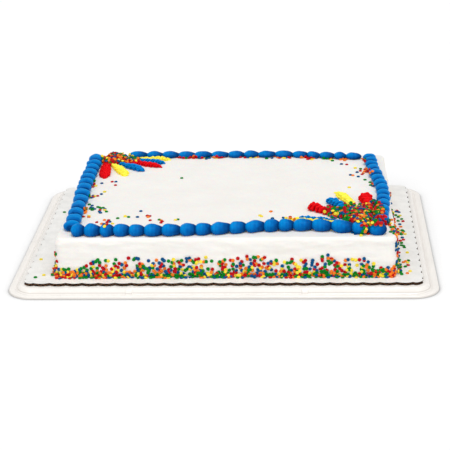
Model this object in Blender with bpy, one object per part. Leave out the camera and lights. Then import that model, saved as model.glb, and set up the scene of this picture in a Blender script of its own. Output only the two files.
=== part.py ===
"""A half-sheet cake with a piped border, on its scalloped board and clear tray, at real size.

Metres, +Z up. +X runs along the cake's length and -Y is its front. The origin is on the
floor under the middle of the tray.
"""

import math
import random
from collections import namedtuple

import bmesh
import bpy
from mathutils import Matrix, Vector
from mathutils.bvhtree import BVHTree

MM = 0.001
GAP = 0.3 * MM  # left between neighbours that touch

# Board: a half-sheet board with a scalloped edge
BOARD_HALF = Vector((238 * MM, 175 * MM))
BOARD_CORNER = 13 * MM
BOARD_THICK = 4 * MM
SCALLOP_DEPTH = 2.4 * MM
SCALLOPS_LONG, SCALLOPS_SHORT = 23, 17
SCALLOP_STEPS = 3

# Tray: a thin moulded sheet, whose profile is (outward from the board's edge, height, share of a tab)
TRAY_TOP = 8 * MM
TRAY_PROFILE = (
    (4.0, 8.0, 0.0),
    (5.0, 7.5, 0.5),
    (8.4, 2.6, 1.0),
    (9.6, 1.7, 0.6),
    (11.6, 2.9, 0.0),
    (16.2, 2.9, 0.0),
    (18.0, 2.2, 0.0),
    (18.4, 0.0, 0.0),
)
TRAY_UNDERSIDE = (
    (16.6, 0.0, 0.0),
    (16.2, 2.1, 0.0),
    (11.6, 2.1, 0.0),
    (9.8, 0.9, 0.6),
    (7.8, 2.2, 1.0),
    (4.4, 7.2, 0.0),
)
TAB_PLACES = (-0.110, 0.098)
TAB_WIDTH = 7 * MM
TAB_SIDE = 0.8 * MM
TAB_BULGE = 1.8 * MM

# Cake: its icing as one solid, a little off the board's middle
CAKE_HALF = Vector((204.5 * MM, 161 * MM))
CAKE_CENTRE = Vector((3 * MM, 7 * MM))
CAKE_CORNER = 12 * MM
CAKE_BASE = TRAY_TOP + GAP + BOARD_THICK + GAP
CAKE_TOP = 60.3 * MM
CAKE_LEVELS = ((0.0, 0.0), (0.3, 0.5), (0.88, 2.0), (0.965, 3.0), (1.0, 5.4))  # share of height, inset in mm
ICING_WAVE = 0.8 * MM
WAVE_CUTS_LONG, WAVE_CUTS_SHORT = 15, 11  # steps along each straight side
WAVE_REACH = Vector((182 * MM, 136 * MM))  # how far from the middle they go

# Border: four piped rows of beads
BEAD_SECTION = ((0.78, 0), (1, 0.32), (0.66, 0.84), (0, 1), (-0.66, 0.84), (-1, 0.32), (-0.78, 0))
BEAD_RINGS = ((0.14, 0.92, 0.93), (0.42, 1.0, 1.0), (0.76, 0.88, 0.90))  # place, width, height
CREASE_WIDTH = 0.66  # share of a bead's width that is left in the crease before it
LENGTH_VARIES = 0.20  # share of a bead's length
ROW_START = ((0.0, 0.30, 0.28), (0.05, 0.68, 0.62))
ROW_END = ((0.92, 0.68, 0.62), (1.0, 0.32, 0.28))

# Piped strokes in two opposite corners
STROKE_SECTION = ((0.8, 0), (1, 0.42), (0.5, 0.95), (-0.5, 0.95), (-1, 0.42), (-0.8, 0))
STROKE_RIDGE = 6.2 * MM
RIDGE_DEPTH = 0.16
ROOT_CLEARANCE = 2.2 * MM

# Sprinkles: flat round sugar discs
DISC_RADIUS = 2.1 * MM
DISC_THICK = 1.5 * MM
DISC_SIDES = 7
DISC_SUNK = 0.55  # share of the thickness that is pressed in
HEAP_STEPS = 14

MATERIALS = {
    "clear_plastic": ((0.90, 0.89, 0.86), 0.12, 0.0),
    "silver_board": ((0.80, 0.80, 0.79), 0.42, 0.15),
    "white_icing": ((0.93, 0.91, 0.86), 0.55, 0.0),
    "blue_icing": ((0.01, 0.20, 0.66), 0.38, 0.0),
    "red_icing": ((0.68, 0.01, 0.02), 0.38, 0.0),
    "yellow_icing": ((0.93, 0.70, 0.03), 0.40, 0.0),
    "mixed_sprinkles": ((0.72, 0.30, 0.06), 0.30, 0.0),
}


def bump(share, centre, width, height_mm):
    """A smooth sideways swell of a piped row, in metres."""
    return height_mm * MM * math.exp(-(((share - centre) / width) ** 2))


# A row's ends in metres, its beads and how much longer they get along it, the seed of their lengths,
# its width and height in mm, the share of the height that is left in its creases, and its sideways swell
Row = namedtuple("Row", "start end beads growth seed width height crease swell")
ROWS = {
    "border_front": Row(
        (-0.1805, -0.1385), (0.195, -0.145), 19, 0.2, 169932, 18.4, 13.8, 0.76,
        lambda share: bump(share, 0.71, 0.25, 17.5),
    ),
    "border_back": Row(
        (-0.1435, 0.1625), (0.1745, 0.143), 15, -0.28, 123877, 15.6, 8.2, 0.55,
        lambda share: bump(share, 0.66, 0.34, 9.5),
    ),
    "border_left": Row(
        (-0.1885, 0.152), (-0.1835, -0.1295), 13, -0.1, 15112, 19.6, 11.0, 0.70,
        lambda share: bump(share, 0.42, 0.20, -2.0),
    ),
    "border_right": Row(
        (0.185, 0.145), (0.1905, -0.112), 14, 0.1, 152471, 17.0, 10.2, 0.70,
        lambda share: bump(share, 0.55, 0.30, 8.6),
    ),
}

# name: centre, half sizes and height of the mound, and the point that its strokes spread from
HEAPS = {
    "sprinkle_heap_back": ((-0.161, 0.142), (16.5 * MM, 19 * MM), 9 * MM, (-0.174, 0.146)),
    "sprinkle_heap_front": ((0.163, -0.088), (18.5 * MM, 31 * MM), 7 * MM, (0.182, -0.112)),
}

# heap, colour, tip, sideways bend towards the tip in mm, width in mm, height in mm
STROKES = {
    "stroke_back_1": ("sprinkle_heap_back", "yellow_icing", (-0.086, 0.1455), 0, 7.5, 5.5),
    "stroke_back_2": ("sprinkle_heap_back", "blue_icing", (-0.092, 0.131), -1, 9.0, 6.0),
    "stroke_back_3": ("sprinkle_heap_back", "red_icing", (-0.095, 0.114), 0, 9.0, 5.5),
    "stroke_back_4": ("sprinkle_heap_back", "blue_icing", (-0.119, 0.097), 1, 11.0, 6.5),
    "stroke_back_5": ("sprinkle_heap_back", "yellow_icing", (-0.139, 0.078), -1, 12.0, 6.0),
    "stroke_back_6": ("sprinkle_heap_back", "red_icing", (-0.168, 0.069), 0, 14.0, 6.5),
    "stroke_front_1": ("sprinkle_heap_front", "yellow_icing", (0.079, -0.098), -5, 6.4, 5.0),
    "stroke_front_2": ("sprinkle_heap_front", "blue_icing", (0.090, -0.086), 0, 5.0, 4.5),
    "stroke_front_3": ("sprinkle_heap_front", "red_icing", (0.100, -0.052), -3, 11.0, 7.5),
    "stroke_front_4": ("sprinkle_heap_front", "blue_icing", (0.127, -0.023), 2, 12.0, 7.5),
    "stroke_front_5": ("sprinkle_heap_front", "yellow_icing", (0.141, 0.005), 1, 10.0, 6.5),
    "stroke_front_6": ("sprinkle_heap_front", "red_icing", (0.173, -0.013), 0, 13.0, 8.0),
}


def finish(name):
    """The named material, as a Principled BSDF."""
    found = bpy.data.materials.get(name)
    if found:
        return found
    colour, roughness, metallic = MATERIALS[name]
    made = bpy.data.materials.new(name)
    made.use_nodes = True
    shader = made.node_tree.nodes["Principled BSDF"]
    shader.inputs["Base Color"].default_value = (*colour, 1)
    shader.inputs["Roughness"].default_value = roughness
    shader.inputs["Metallic"].default_value = metallic
    return made


def make_object(name, rings, material):
    """A closed solid lofted through rings of equally many points, with flat ends."""
    mesh = bmesh.new()
    loops = [[mesh.verts.new(point) for point in ring] for ring in rings]
    for lower, upper in zip(loops, loops[1:]):
        for i in range(len(lower)):
            j = (i + 1) % len(lower)
            mesh.faces.new((lower[i], lower[j], upper[j], upper[i]))
    mesh.faces.new(reversed(loops[0]))
    mesh.faces.new(loops[-1])
    bmesh.ops.recalc_face_normals(mesh, faces=mesh.faces)
    data = bpy.data.meshes.new(name)
    mesh.to_mesh(data)
    mesh.free()
    data.materials.append(finish(material))
    made = bpy.data.objects.new(name, data)
    bpy.context.scene.collection.objects.link(made)
    return made


def round_off(made, angle=38):
    """Shades a solid smooth, apart from edges sharper than the angle."""
    made.data.shade_smooth()
    made.data.set_sharp_from_angle(angle=math.radians(angle))


def rounded_rectangle(half, radius, corner_steps, long_cuts=(), short_cuts=()):
    """(point, outward normal) round a rounded rectangle, anticlockwise from the right side's back end.

    The cuts are extra stations, as coordinates along the straight sides, in rising order.
    """
    found = []
    sides = ((long_cuts, 0, 1), (short_cuts, 1, -1), (long_cuts, 0, -1), (short_cuts, 1, 1))
    for quarter, (cuts, axis, side) in enumerate(sides):
        start = quarter * math.pi / 2
        middle = start + math.pi / 4
        centre = Vector((
            math.copysign(half.x - radius, math.cos(middle)),
            math.copysign(half.y - radius, math.sin(middle)),
        ))
        for step in range(corner_steps + 1):
            angle = start + step / corner_steps * math.pi / 2
            normal = Vector((math.cos(angle), math.sin(angle)))
            found.append((centre + normal * radius, normal))
        normal = Vector((0, side)) if axis == 0 else Vector((side, 0))
        rising = quarter in (2, 3)
        for cut in cuts if rising else reversed(cuts):
            point = Vector((cut, side * half.y)) if axis == 0 else Vector((side * half.x, cut))
            found.append((point, normal))
    return found


def scalloped_outline():
    """The board's edge: shallow arcs that meet in cusps, with one arc round each corner."""
    reach = BOARD_HALF - Vector((BOARD_CORNER, BOARD_CORNER))
    cuts = []
    for length, count in ((reach.x, SCALLOPS_LONG), (reach.y, SCALLOPS_SHORT)):
        steps = count * SCALLOP_STEPS
        cuts.append([length * (2 * k / steps - 1) for k in range(1, steps)])
    corner_steps = 5
    stations = rounded_rectangle(BOARD_HALF, BOARD_CORNER, corner_steps, *cuts)
    outline = []
    place = 0
    for straight in (cuts[0], cuts[1], cuts[0], cuts[1]):
        for step in range(corner_steps + 1):
            dip = abs(2 * step / corner_steps - 1) ** 4
            outline.append(stations[place][0] - stations[place][1] * SCALLOP_DEPTH * dip)
            place += 1
        for step in range(1, len(straight) + 1):
            dip = (2 * (step % SCALLOP_STEPS) / SCALLOP_STEPS - 1) ** 2
            outline.append(stations[place][0] - stations[place][1] * SCALLOP_DEPTH * dip)
            place += 1
    return outline


def make_board():
    outline = scalloped_outline()
    bottom = TRAY_TOP + GAP
    rings = [[(p.x, p.y, z) for p in outline] for z in (bottom, bottom + BOARD_THICK)]
    return make_object("board", rings, "silver_board")


def make_tray():
    """The tray: a raised platform, a sloping wall with snap tabs, a groove and a flat rim."""
    cuts = []
    for place in TAB_PLACES:
        half = TAB_WIDTH / 2
        cuts += [place - half - TAB_SIDE, place - half, place + half, place + half + TAB_SIDE]
    stations = rounded_rectangle(BOARD_HALF, BOARD_CORNER, 6, cuts)
    rings = []
    for outward, height, tab_share in (*TRAY_PROFILE, *TRAY_UNDERSIDE):
        ring = []
        for point, normal in stations:
            on_tab = any(abs(point.x - place) < TAB_WIDTH / 2 + TAB_SIDE / 2 for place in TAB_PLACES)
            bulge = TAB_BULGE * tab_share if on_tab else 0
            spot = point + normal * (outward * MM + bulge)
            ring.append((spot.x, spot.y, height * MM))
        rings.append(ring)
    made = make_object("tray", rings, "clear_plastic")
    round_off(made)
    return made


def icing_wave(point):
    """How far the spread icing stands out or in at a place on the cake's side."""
    along = math.sin(point.x / (33 * MM) + 1.1) + 0.6 * math.sin(point.x / (14 * MM))
    across = math.sin(point.y / (27 * MM) + 0.4) + 0.6 * math.sin(point.y / (12 * MM) + 2)
    return ICING_WAVE * 0.5 * (along + across)


def make_cake():
    """The iced cake with the sprinkles pressed into its sides and top."""
    long_cuts = [WAVE_REACH.x * (2 * k / WAVE_CUTS_LONG - 1) for k in range(WAVE_CUTS_LONG + 1)]
    short_cuts = [WAVE_REACH.y * (2 * k / WAVE_CUTS_SHORT - 1) for k in range(WAVE_CUTS_SHORT + 1)]
    stations = rounded_rectangle(CAKE_HALF, CAKE_CORNER, 4, long_cuts, short_cuts)
    rings = []
    for share, inset in CAKE_LEVELS:
        ring = []
        for point, normal in stations:
            spot = point + CAKE_CENTRE + normal * (icing_wave(point) - inset * MM)
            ring.append((spot.x, spot.y, CAKE_BASE + share * (CAKE_TOP - CAKE_BASE)))
        rings.append(ring)
    return make_object("cake", rings, "white_icing")


def row_frames(row):
    """(middle, sideways, half width, height) of each ring of a row, each bead differing a little."""
    draw = random.Random(row.seed)
    start, end = Vector(row.start), Vector(row.end)
    ahead = (end - start).normalized()
    sideways = Vector((-ahead.y, ahead.x))
    lengths = [
        1 + row.growth * ((number + 0.5) / row.beads - 0.5) + draw.uniform(-LENGTH_VARIES, LENGTH_VARIES)
        for number in range(row.beads)
    ]
    total = sum(lengths)
    rings = []
    place = 0.0
    for number, length in enumerate(lengths):
        fat, tall = 1 + draw.uniform(-0.05, 0.05), 1 + draw.uniform(-0.07, 0.05)
        crease = (0.0, CREASE_WIDTH, row.crease)
        own = (*ROW_START, *BEAD_RINGS) if number == 0 else (crease, *BEAD_RINGS)
        if number == row.beads - 1:
            own += ROW_END
        for inner, width, height in own:
            rings.append((place + inner * length, width * fat, height * tall))
        place += length
    found = []
    for along, width, height in rings:
        share = along / total
        middle = start + (end - start) * share + sideways * row.swell(share)
        found.append((middle, sideways, width * row.width * MM / 2, height * row.height * MM))
    return found


def lofted(frames, section, base):
    """Rings that follow frames (middle, sideways, half width, height), standing on a level base."""
    return [
        [
            (*(middle + sideways * (across * half)), base + up * height)
            for across, up in section
        ]
        for middle, sideways, half, height in frames
    ]


def make_row(name):
    frames = row_frames(ROWS[name])
    made = make_object(name, lofted(frames, BEAD_SECTION, CAKE_TOP + GAP), "blue_icing")
    round_off(made, 50)
    return made


def stroke_root(heap, tip):
    """Where a stroke that runs from the heap's spreading point to its tip comes clear of the heap."""
    (centre_x, centre_y), (half_x, half_y), _, origin = HEAPS[heap]
    origin, tip = Vector(origin), Vector(tip)
    ahead = (tip - origin).normalized()
    reach = 0.0
    while True:
        spot = origin + ahead * reach
        across = (spot.x - centre_x) / (half_x + ROOT_CLEARANCE)
        along = (spot.y - centre_y) / (half_y + ROOT_CLEARANCE)
        if across * across + along * along > 1 and reach > half_y / 2:
            return spot
        reach += MM


def make_stroke(name):
    """One ruffled stroke, narrow where it leaves the heap and rounded at its tip."""
    heap, colour, tip, bend, width, height = STROKES[name]
    root, tip = stroke_root(heap, tip), Vector(tip)
    ahead = (tip - root).normalized()
    sideways = Vector((-ahead.y, ahead.x))
    ridges = max(3, round((tip - root).length / STROKE_RIDGE))
    frames = []
    for step in range(2 * ridges + 1):
        share = step / (2 * ridges)
        middle = root + (tip - root) * share + sideways * (bend * MM * share * share)
        swell = 0.55 + 0.45 * min(1, share / 0.45)
        tail = math.sqrt(max(0.10, 1 - max(0, (share - 0.72) / 0.28) ** 2))
        ridge = 1 - (RIDGE_DEPTH if step % 2 == 0 else 0)
        size = swell * tail * ridge
        frames.append((middle, sideways, size * width * MM / 2, size * height * MM))
    made = make_object(name, lofted(frames, STROKE_SECTION, CAKE_TOP + GAP), colour)
    round_off(made, 50)
    return made


def make_heap(name, seed):
    """The uneven mound of sprinkles at a corner, before its own discs are fused on."""
    (centre_x, centre_y), (half_x, half_y), mound, _ = HEAPS[name]
    draw = random.Random(seed)
    lumps = [draw.uniform(-0.06, 0) for _ in range(HEAP_STEPS)]
    rings = []
    for share, height in ((0.97, 0), (1.0, 0.28), (0.84, 0.72), (0.5, 0.96), (0.16, 1.0)):
        ring = []
        for step, lump in enumerate(lumps):
            angle = 2 * math.pi * step / HEAP_STEPS
            reach = share * (1 + lump)
            rise = height * (1 + 1.6 * lump) * mound
            ring.append((
                centre_x + half_x * reach * math.cos(angle),
                centre_y + half_y * reach * math.sin(angle),
                CAKE_TOP + GAP + rise,
            ))
        rings.append(ring)
    return make_object(name, rings, "mixed_sprinkles")


def add_disc(collection, place, normal, draw, tilt):
    """One sprinkle, half pressed into the surface at the place, in the helper collection."""
    lean = Vector((draw.uniform(-tilt, tilt), draw.uniform(-tilt, tilt), draw.uniform(-tilt, tilt)))
    axis = (normal + lean).normalized()
    turn = axis.to_track_quat("Z", "Y").to_matrix().to_4x4()
    turn = turn @ Matrix.Rotation(draw.uniform(0, math.pi), 4, "Z")
    mesh = bmesh.new()
    bmesh.ops.create_cone(
        mesh, cap_ends=True, segments=DISC_SIDES, radius1=DISC_RADIUS,
        radius2=DISC_RADIUS * 0.86, depth=DISC_THICK, matrix=turn,
    )
    data = bpy.data.meshes.new("disc")
    mesh.to_mesh(data)
    mesh.free()
    made = bpy.data.objects.new("disc", data)
    made.location = place + normal * DISC_THICK * (0.5 - DISC_SUNK)
    collection.objects.link(made)


def surface_of(made):
    mesh = bmesh.new()
    mesh.from_mesh(made.data)
    tree = BVHTree.FromBMesh(mesh)
    mesh.free()
    return tree


def spaced(places, least):
    """Those places that keep the least distance from all earlier ones."""
    kept = []
    for place in places:
        if all((place[0] - other[0]).length > least for other in kept):
            kept.append(place)
    return kept


def band_places(surface, draw, count):
    """Sprinkles round the cake's foot: thickest along the front, up to 22 mm high."""
    half = CAKE_HALF + Vector((20 * MM, 20 * MM))
    shares = ((0.50, (-0.195, 0.195), -1, 0), (0.18, (-0.185, 0.185), 1, 0),
              (0.14, (-0.140, 0.150), -1, 1), (0.18, (-0.140, 0.150), 1, 1))
    found = []
    for share, (low, high), side, axis in shares:
        for _ in range(round(count * share)):
            along = draw.uniform(low, high)
            height = CAKE_BASE + 3 * MM + 18 * MM * draw.random() ** 1.7
            if axis == 0:
                start = Vector((along, side * half.y, height)) + Vector((0, CAKE_CENTRE.y, 0))
                aim = Vector((0, -side, 0))
            else:
                start = Vector((side * half.x, along, height)) + Vector((CAKE_CENTRE.x, 0, 0))
                aim = Vector((-side, 0, 0))
            place, normal, _, _ = surface.ray_cast(start, aim)
            if place:
                found.append((place, normal))
    return found


def scatter_places(surface, draw, spots, base):
    """Sprinkles that fell flat: spots are (x, y, spread, count) in metres."""
    found = []
    for x, y, spread, count in spots:
        for _ in range(count):
            start = Vector((draw.gauss(x, spread), draw.gauss(y, spread), base + 50 * MM))
            place, normal, _, _ = surface.ray_cast(start, Vector((0, 0, -1)))
            if place and abs(place.z - base) < 0.2 * MM:
                found.append((place, normal))
    return found


def clear_of_toppings(place):
    """Whether a disc on the cake's top stays clear of rows, strokes and heaps."""
    reach = DISC_RADIUS + 1.5 * MM
    for row in ROWS.values():
        start, end = Vector(row.start), Vector(row.end)
        run = end - start
        share = min(1, max(0, (place.xy - start).dot(run) / run.length_squared))
        side = Vector((-run.y, run.x)).normalized()
        if (place.xy - start - run * share - side * row.swell(share)).length < row.width * MM / 2 + reach:
            return False
    for heap, _, tip, bend, width, _ in STROKES.values():
        root, tip = stroke_root(heap, tip), Vector(tip)
        run = tip - root
        share = min(1, max(0, (place.xy - root).dot(run) / run.length_squared))
        if (place.xy - root - run * share).length < (width / 2 + abs(bend)) * MM + reach:
            return False
    for (x, y), (half_x, half_y), _, _ in HEAPS.values():
        across, along = (place.x - x) / (half_x + reach), (place.y - y) / (half_y + reach)
        if across * across + along * along < 1:
            return False
    return True


def fuse_discs(made, places, draw, tilt):
    """Joins a sprinkle at each place to the solid, with one Boolean union."""
    collection = bpy.data.collections.new("discs")
    bpy.context.scene.collection.children.link(collection)
    for place, normal in places:
        add_disc(collection, place, normal, draw, tilt)
    union = made.modifiers.new("sprinkles", "BOOLEAN")
    union.operation = "UNION"
    union.operand_type = "COLLECTION"
    union.collection = collection
    bpy.context.view_layer.update()
    bpy.context.view_layer.objects.active = made
    bpy.ops.object.modifier_apply(modifier=union.name)
    for disc in list(collection.objects):
        bpy.data.objects.remove(disc)
    bpy.data.collections.remove(collection)


def sprinkle_cake(cake):
    draw = random.Random(21)
    surface = surface_of(cake)
    spots = ((-0.160, 0.020, 0.022, 9), (-0.150, -0.060, 0.018, 8), (-0.105, -0.095, 0.016, 6),
             (0.150, 0.105, 0.016, 6), (0.060, 0.132, 0.022, 6), (0.030, -0.075, 0.014, 2))
    flat = scatter_places(surface, draw, spots, CAKE_TOP)
    flat = [spot for spot in flat if clear_of_toppings(spot[0])]
    places = spaced(flat + band_places(surface, draw, 78), 2.3 * DISC_RADIUS)
    fuse_discs(cake, places, draw, 0.2)


def sprinkle_board(board):
    """A few sprinkles that rolled onto the board, clear of the cake's foot."""
    draw = random.Random(5)
    top = TRAY_TOP + GAP + BOARD_THICK
    spots = ((0.2255, 0.020, 0.004, 2), (0.2255, -0.060, 0.004, 3), (0.224, -0.110, 0.003, 1),
             (-0.2190, -0.149, 0.003, 1), (-0.2215, -0.085, 0.003, 1), (0.060, -0.1625, 0.003, 1))
    places = scatter_places(surface_of(board), draw, spots, top)
    cake = CAKE_HALF + Vector((5 * MM, 5 * MM))
    outside = [
        spot for spot in places
        if abs(spot[0].x - CAKE_CENTRE.x) > cake.x or abs(spot[0].y - CAKE_CENTRE.y) > cake.y
    ]
    fuse_discs(board, spaced(outside, 2.3 * DISC_RADIUS), draw, 0.05)


def sprinkle_heap(heap, seed):
    """Discs fused on the heap's upper side, spread evenly and clear of its rim."""
    (x, y), (half_x, half_y), _, _ = HEAPS[heap.name]
    draw = random.Random(seed)
    surface = surface_of(heap)
    places = []
    for _ in range(160):
        angle, reach = draw.uniform(0, 2 * math.pi), 0.80 * math.sqrt(draw.random())
        start = Vector((x + half_x * reach * math.cos(angle), y + half_y * reach * math.sin(angle), 0.2))
        place, normal, _, _ = surface.ray_cast(start, Vector((0, 0, -1)))
        if place:
            places.append((place, normal))
    fuse_discs(heap, spaced(places, 2.9 * DISC_RADIUS), draw, 0.35)


def main():
    for old in list(bpy.data.objects):
        bpy.data.objects.remove(old)
    make_tray()
    sprinkle_board(make_board())
    sprinkle_cake(make_cake())
    for name in ROWS:
        make_row(name)
    for name in STROKES:
        make_stroke(name)
    for seed, name in enumerate(HEAPS):
        sprinkle_heap(make_heap(name, seed + 40), seed + 50)


main()
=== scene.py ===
import itertools
import math
import random
from collections import namedtuple

import bmesh
import bpy
import numpy as np
from mathutils import Matrix, Vector, noise
from mathutils.bvhtree import BVHTree


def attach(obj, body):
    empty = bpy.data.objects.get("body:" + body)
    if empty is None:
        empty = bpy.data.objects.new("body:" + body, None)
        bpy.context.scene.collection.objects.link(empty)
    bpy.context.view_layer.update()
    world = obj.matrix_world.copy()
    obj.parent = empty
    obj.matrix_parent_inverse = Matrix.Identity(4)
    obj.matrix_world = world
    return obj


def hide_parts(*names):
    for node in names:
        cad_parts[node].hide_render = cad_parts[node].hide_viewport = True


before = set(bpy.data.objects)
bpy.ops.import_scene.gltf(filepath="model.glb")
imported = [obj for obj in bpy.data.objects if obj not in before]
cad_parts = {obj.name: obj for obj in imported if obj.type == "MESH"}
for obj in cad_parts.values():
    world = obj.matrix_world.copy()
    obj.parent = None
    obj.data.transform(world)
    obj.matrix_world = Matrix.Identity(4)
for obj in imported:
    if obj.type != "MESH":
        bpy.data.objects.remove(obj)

# All sizes are millimetres, in the frame of the solids. A mesh is scaled to metres when it is made.
MM = 0.001
PAINTED_LIGHT = "painted_light"  # the attribute that holds each vertex's painted light: painted shade in the icing's creases, light where it stands out

# Board
BOARD_HALF = (238, 175)
BOARD_CORNER, CORNER_STEPS = 13, 14
BOARD_BOTTOM, BOARD_TOP = 8.3, 12.3
LINER = 0.6
LINER_TOP = 8.6  # the pale lower liner's upper edge
FLUTE_INSET, FLUTE_PITCH, FLUTE_SWING = 0.7, 7.2, 1.2
FLUTE_EDGES = (0.25, 0.7)  # how far from the wave's middle line its card is whole, and has ended; beyond lies painted shade, near black, in the hollows
SCALLOPS, SCALLOP_STEPS, SCALLOP_DEPTH = (23, 17), 9, 2.4  # on a long and a short side

# Tray: outward from the board's outline, height, and share of a tab's bulge, from the platform's edge
# to the rim's, and back below
TRAY_PROFILE = (
    (4.0, 8.0, 0.0), (5.0, 7.5, 0.5), (8.4, 2.6, 1.0), (9.6, 1.7, 0.6),
    (11.6, 2.9, 0.0), (16.2, 2.9, 0.0), (18.0, 2.2, 0.0), (18.4, 0.0, 0.0),
)
TRAY_UNDERSIDE = (
    (16.6, 0.0, 0.0), (16.2, 2.1, 0.0), (11.6, 2.1, 0.0),
    (9.8, 0.9, 0.6), (7.8, 2.2, 1.0), (4.4, 7.2, 0.0),
)
TRAY_SHADES = 6.0  # height up to which painted shade lies on the tray's bends, groove and foot
TRAY_FOLDS = (  # share of that height, and how dark the painted shade is there
    (0.0, 0.35), (0.30, 0.22), (0.40, 0.0), (0.485, 0.0), (0.50, 0.45), (0.60, 0.40), (0.68, 0.0),
)
TAB_PLACES = (-110, 98)  # along the front and the back
TAB_WIDTH, TAB_SIDE, TAB_BULGE = 7, 0.8, 1.8

# Cake
CAKE_HALF = (204.5, 161)
CAKE_CENTRE = (3, 7)
CAKE_CORNER = 12
CAKE_BASE, CAKE_TOP = 12.6, 60.3
CAKE_CUTS, CUT_PITCH = (192, 148), 3.0  # the outermost points cut into its sides, and their step
ICING_WAVE = 0.8
# The top edge: the share of the height where it starts, the inset there, and how far in it turns
EDGE_STARTS, EDGE_INSET, EDGE_DEPTH = 0.88, 2.0, 3.4
RAG_HEIGHT, RAG_BAND, RAG_DEPTH = 53, 3.5, 1.5  # the ragged line that the spatula left below the edge

# Border rows: ends, beads, how much longer they get along the row, seed, width, height, the shares of
# the width and height left in the creases, how much painted light the sides keep as a painted rim
# highlight, how late the painted shade sets in along a bead, where and how much the row is lower, and how
# far it swells sideways
LENGTH_VARIES, WIDTH_VARIES = 0.20, 0.05
HEIGHT_VARIES = (-0.07, 0.05)
NOT_SLIM = (0.5, 1, 0)
Row = namedtuple("Row", "start end beads growth seed width height pinch crease rim deepens slim swell")


def bump_of(share, centre, width, height):
    """A smooth bump over a value."""
    return height * math.exp(-(((share - centre) / width) ** 2))


ROWS = {
    "border_front": Row(
        (-180.5, -138.5), (195, -145), 19, 0.2, 169932, 18.4, 13.8, 0.50, 0.62, 0.30, 1.9, (0.78, 0.14, 0.09),
        lambda share: bump_of(share, 0.71, 0.25, 17.5) + bump_of(share, 0.78, 0.13, 2.5),
    ),
    "border_back": Row(
        (-143.5, 162.5), (174.5, 143), 15, -0.28, 123877, 15.6, 8.2, 0.45, 0.40, 0.05, 1.5, NOT_SLIM,
        lambda share: bump_of(share, 0.66, 0.34, 9.5),
    ),
    "border_left": Row(
        (-188.5, 152), (-183.5, -129.5), 13, -0.1, 15112, 19.6, 11.0, 0.64, 0.60, 1.15, 3.4, NOT_SLIM,
        lambda share: bump_of(share, 0.42, 0.20, -2.0),
    ),
    "border_right": Row(
        (185, 145), (190.5, -112), 14, 0.1, 152471, 17.0, 10.2, 0.64, 0.60, 1.30, 3.4, NOT_SLIM,
        lambda share: bump_of(share, 0.55, 0.30, 8.6),
    ),
}
BEAD_SIDES, BEAD_RINGS = 40, 45
# In bead lengths: the thickest place, how far the head reaches before it, and the tail's end
BEAD_PEAK, BEAD_HEAD, BEAD_TAIL = 0.40, 0.46, 1.15
BLUNT = 2.0
BEAD_MIDDLE, BELLY = 0.42, 0.60  # shares of the height
THINNEST = 0.02  # an end's share of the full size
DRAG_PITCH, DRAG_DEPTH = 2.3, 0.010
FOLD_RUN = 1.04  # the run over which the painted shade grows towards a bead's tail, in bead lengths
STRIPES, STRIPE_SHADE = 9, 0.88  # bands along a bead, every second one painted darker by this share

# Heaps: centre, half sizes, height, the point that the strokes spread from, and how many loose
# sprinkles are tried on each, with their mix
Heap = namedtuple("Heap", "centre half mound origin count mix")
HEAPS = {
    "sprinkle_heap_back": Heap((-161, 142), (16.5, 19), 9, (-174, 146), 420, "dusk"),
    "sprinkle_heap_front": Heap((163, -88), (18.5, 31), 7, (182, -112), 1000, "heaped"),
}
HEAP_LUMPS, HEAP_SIDES = 14, 84
HEAP_PROFILE = (  # shares of the reach and of the height, from the foot up
    (0.97, 0), (1.0, 0.28), (0.93, 0.52), (0.84, 0.72), (0.7, 0.86), (0.5, 0.96), (0.3, 0.99), (0.1, 1.0),
)
HEAP_SEED = 40
SPREAD = {  # how far the loose sprinkles of a heap lie
    "sprinkle_heap_back": (
        (-185, 160), (-186, 174), (-180, 186), (-170, 190), (-158, 184), (-140, 170), (-128, 150),
        (-132, 141), (-145, 138), (-157, 138), (-168, 130), (-180, 138),
    ),
    "sprinkle_heap_front": (
        (123, -50), (128, -42), (134, -42), (143, -48), (151, -28), (158, -28), (163, -43), (168, -39),
        (177, -35), (182, -24), (189, -19), (193, -36), (196, -58), (197, -83), (196, -107), (189, -114),
        (181, -108), (175, -120), (171, -130), (167, -130), (166, -106), (160, -103), (153, -99), (144, -91),
        (135, -90), (131, -87), (128, -69), (122, -62),
    ),
}

# Strokes, clockwise round each fan
Stroke = namedtuple("Stroke", "heap colour tip bend width height shape")
STROKES = {
    "stroke_back_1": Stroke("sprinkle_heap_back", "yellow", (-86, 145.5), 0, 7.5, 5.5, "plain"),
    "stroke_back_2": Stroke("sprinkle_heap_back", "blue", (-92, 131), -1, 9.0, 6.0, "plain"),
    "stroke_back_3": Stroke("sprinkle_heap_back", "red", (-95, 114), 0, 9.0, 5.5, "plain"),
    "stroke_back_4": Stroke("sprinkle_heap_back", "blue", (-119, 97), 1, 11.0, 6.5, "plain"),
    "stroke_back_5": Stroke("sprinkle_heap_back", "yellow", (-139, 78), -1, 12.0, 6.0, "plain"),
    "stroke_back_6": Stroke("sprinkle_heap_back", "red", (-168, 69), 0, 14.0, 6.5, "plain"),
    "stroke_front_1": Stroke("sprinkle_heap_front", "yellow", (74, -98), -5, 6.4, 5.0, "plain"),
    "stroke_front_2": Stroke("sprinkle_heap_front", "blue", (90, -86), 0, 5.0, 4.5, "plain"),
    "stroke_front_3": Stroke("sprinkle_heap_front", "red", (100, -52), -3, 11.0, 7.5, "blob"),
    "stroke_front_4": Stroke("sprinkle_heap_front", "blue", (127, -23), 2, 12.0, 7.5, "plain"),
    "stroke_front_5": Stroke("sprinkle_heap_front", "yellow", (138, 8), 1, 11.0, 6.5, "peak"),
    "stroke_front_6": Stroke("sprinkle_heap_front", "red", (173, -13), 0, 13.0, 8.0, "blob"),
}
ROOT_CLEARANCE = 2.2
ROOT_RUNS_IN = 16  # how far a stroke starts inside its heap
STROKE_SIDES, STROKE_STEP = 44, 0.5
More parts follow.
